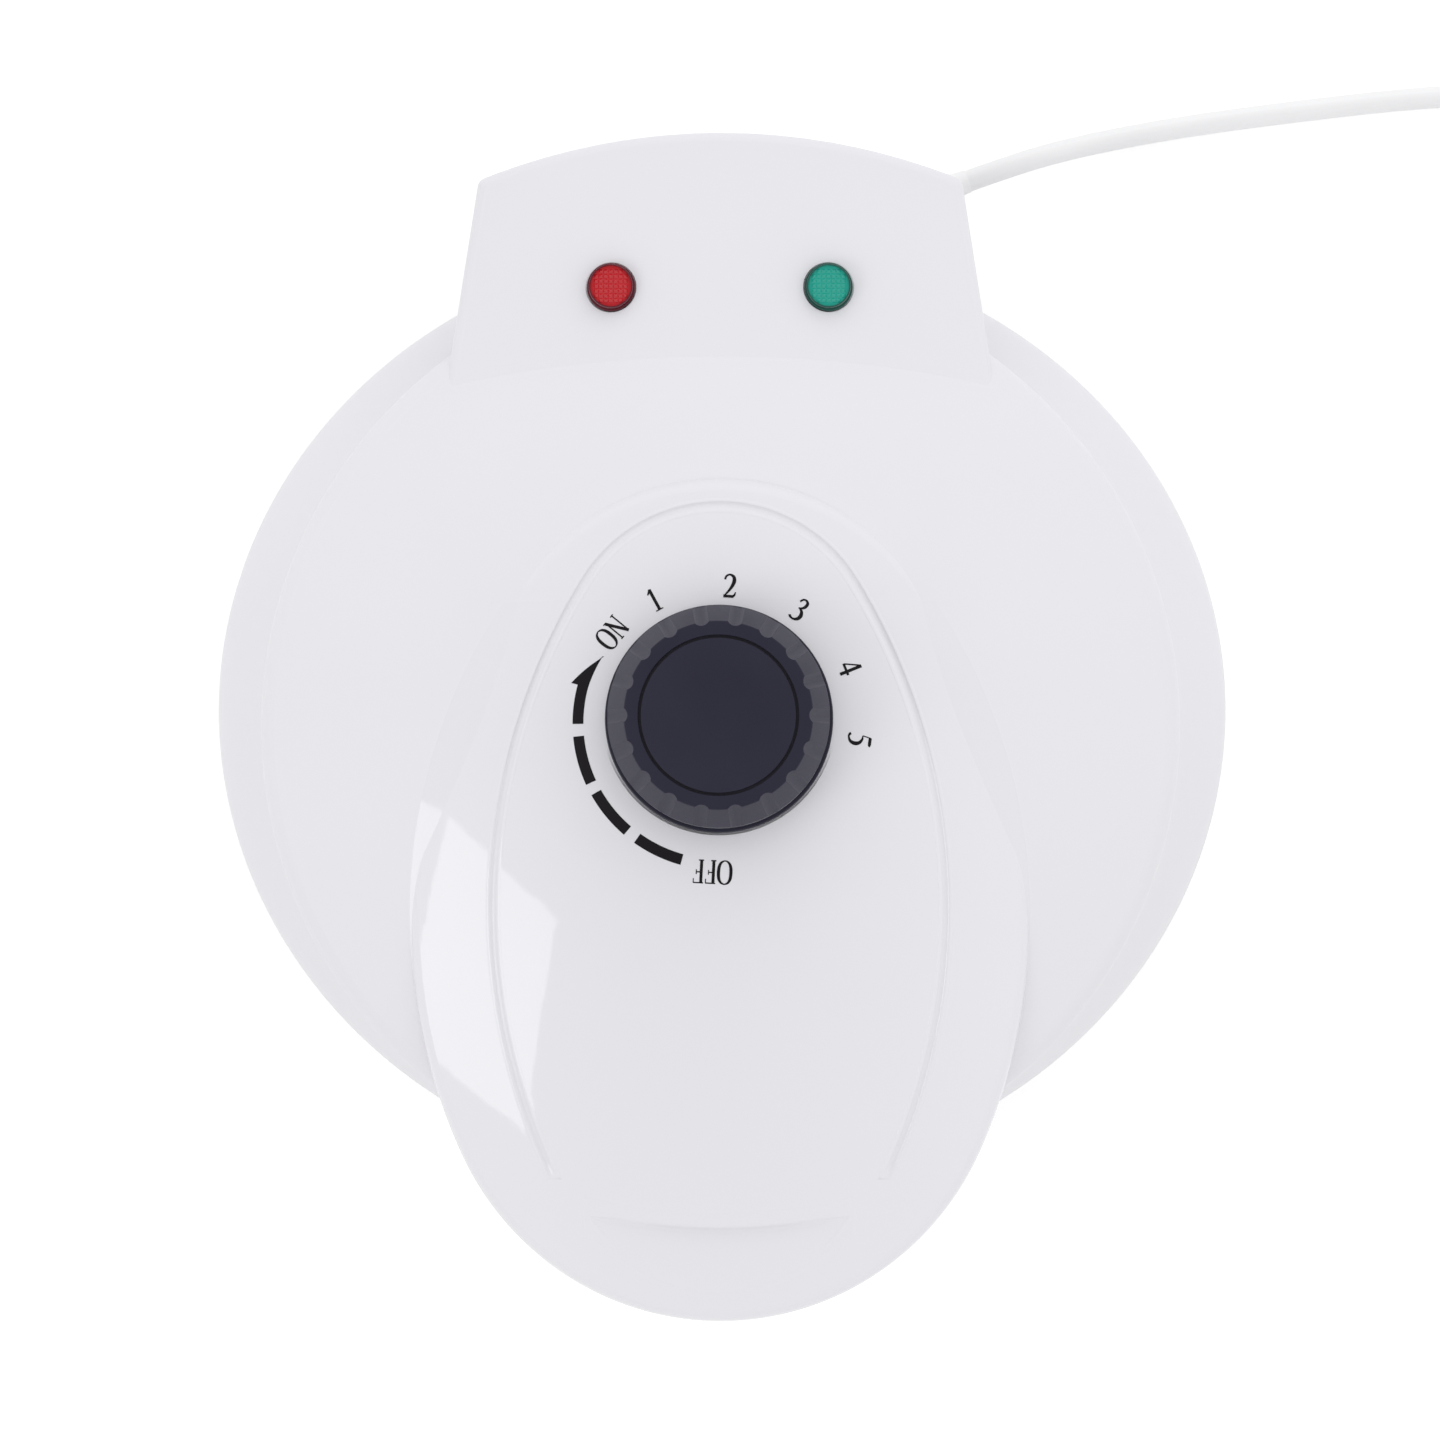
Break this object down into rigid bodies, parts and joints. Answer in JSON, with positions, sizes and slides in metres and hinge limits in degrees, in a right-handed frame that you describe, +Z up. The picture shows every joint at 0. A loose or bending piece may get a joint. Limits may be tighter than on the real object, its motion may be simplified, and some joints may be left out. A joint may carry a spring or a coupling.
{
  "type": "heart waffle maker",
  "caption": "Round electric waffle maker with heart plates, a hinged lid with a rotary thermostat knob, two indicator lights, a front handle and a mains cord.",
  "frame": {"origin": "on the table under the middle of the waffle plates, which is the middle of the body's length from the handle to the hump, without the cord", "axes": "+Z up out of the knob, -Y towards the handle, +Y towards the hinge, +X to the right seen from the handle"},
  "size_m": [0.3957, 0.3006, 0.1025],
  "materials": {
    "shell_plastic": "glossy white moulding",
    "cover_plastic": "satin white moulding",
    "foot_rubber": "matt black",
    "steel_screws": "zinc plated",
    "plate_coating": "cast, dark non-stick coating",
    "heater_steel": "dull sheath",
    "reflector_sheet": "mill finish sheet",
    "hinge_steel": "turned",
    "terminal_ceramic": "unglazed",
    "clamp_plastic": "moulded",
    "lead_insulation": "silicone and glass sleeve",
    "cord_plastic": "white flexible sheath",
    "plug_pins": "nickel plated",
    "knob_plastic": "dark satin moulding",
    "knob_cap": "dark satin disc",
    "red_lens": "clear red, prism faced",
    "green_lens": "clear green, prism faced",
    "neon_glass": "small lamp",
    "thermostat_steel": "pressed sheet",
    "thermostat_ceramic": "unglazed"
  },
  "bodies": {
    "base": {"base_housing": "shell_plastic", "base_cover": "cover_plastic", "foot_rear_left": "foot_rubber", "foot_rear_right": "foot_rubber", "foot_front_left": "foot_rubber", "foot_front_right": "foot_rubber", "base_cover_screws": "steel_screws", "lower_plate": "plate_coating", "lower_plate_screws": "steel_screws", "lower_plate_spacers": "terminal_ceramic", "lower_heater": "heater_steel", "lower_reflector": "reflector_sheet", "terminal_block": "terminal_ceramic", "cord_clamp": "clamp_plastic", "cord_clamp_screws": "steel_screws", "hinge_pin_left": "hinge_steel", "hinge_bush_right": "hinge_steel", "base_leads": "lead_insulation", "heater_leads": "lead_insulation", "inner_cord": "cord_plastic", "strain_relief": "cord_plastic", "mains_cord": "cord_plastic", "cord_coil": "cord_plastic", "cord_tie": "clamp_plastic", "plug_body": "cord_plastic", "plug_pins": "plug_pins"},
    "lid": {"lid_shell": "shell_plastic", "handle_cover": "shell_plastic", "handle_cover_screws": "steel_screws", "upper_plate": "plate_coating", "upper_plate_screws": "steel_screws", "upper_plate_spacers": "terminal_ceramic", "upper_heater": "heater_steel", "upper_reflector": "reflector_sheet", "thermostat_bracket": "thermostat_steel", "thermostat_bracket_screws": "steel_screws", "thermostat_body": "thermostat_ceramic", "thermal_fuse": "terminal_ceramic", "fuse_clip": "thermostat_steel", "red_lens": "red_lens", "green_lens": "green_lens", "lamp_collar_red": "thermostat_steel", "lamp_collar_green": "thermostat_steel", "neon_lamp_red": "neon_glass", "neon_lamp_green": "neon_glass", "lid_leads": "lead_insulation", "upper_heater_leads": "lead_insulation"},
    "knob": {"knob": "knob_plastic", "knob_cap": "knob_cap", "thermostat_shaft": "hinge_steel"}
  },
  "joints": [
    {"name": "lid_hinge", "type": "hinge", "parent": "base", "child": "lid", "pos_m": [0, 0.117, 0.044], "axis": [-1, 0, 0], "range_deg": [0, 95]},
    {"name": "knob_turn", "type": "hinge", "parent": "lid", "child": "knob", "pos_m": [0, 0, 0.09], "axis": [0, 0, -1], "range_deg": [0, 280]}
  ]
}
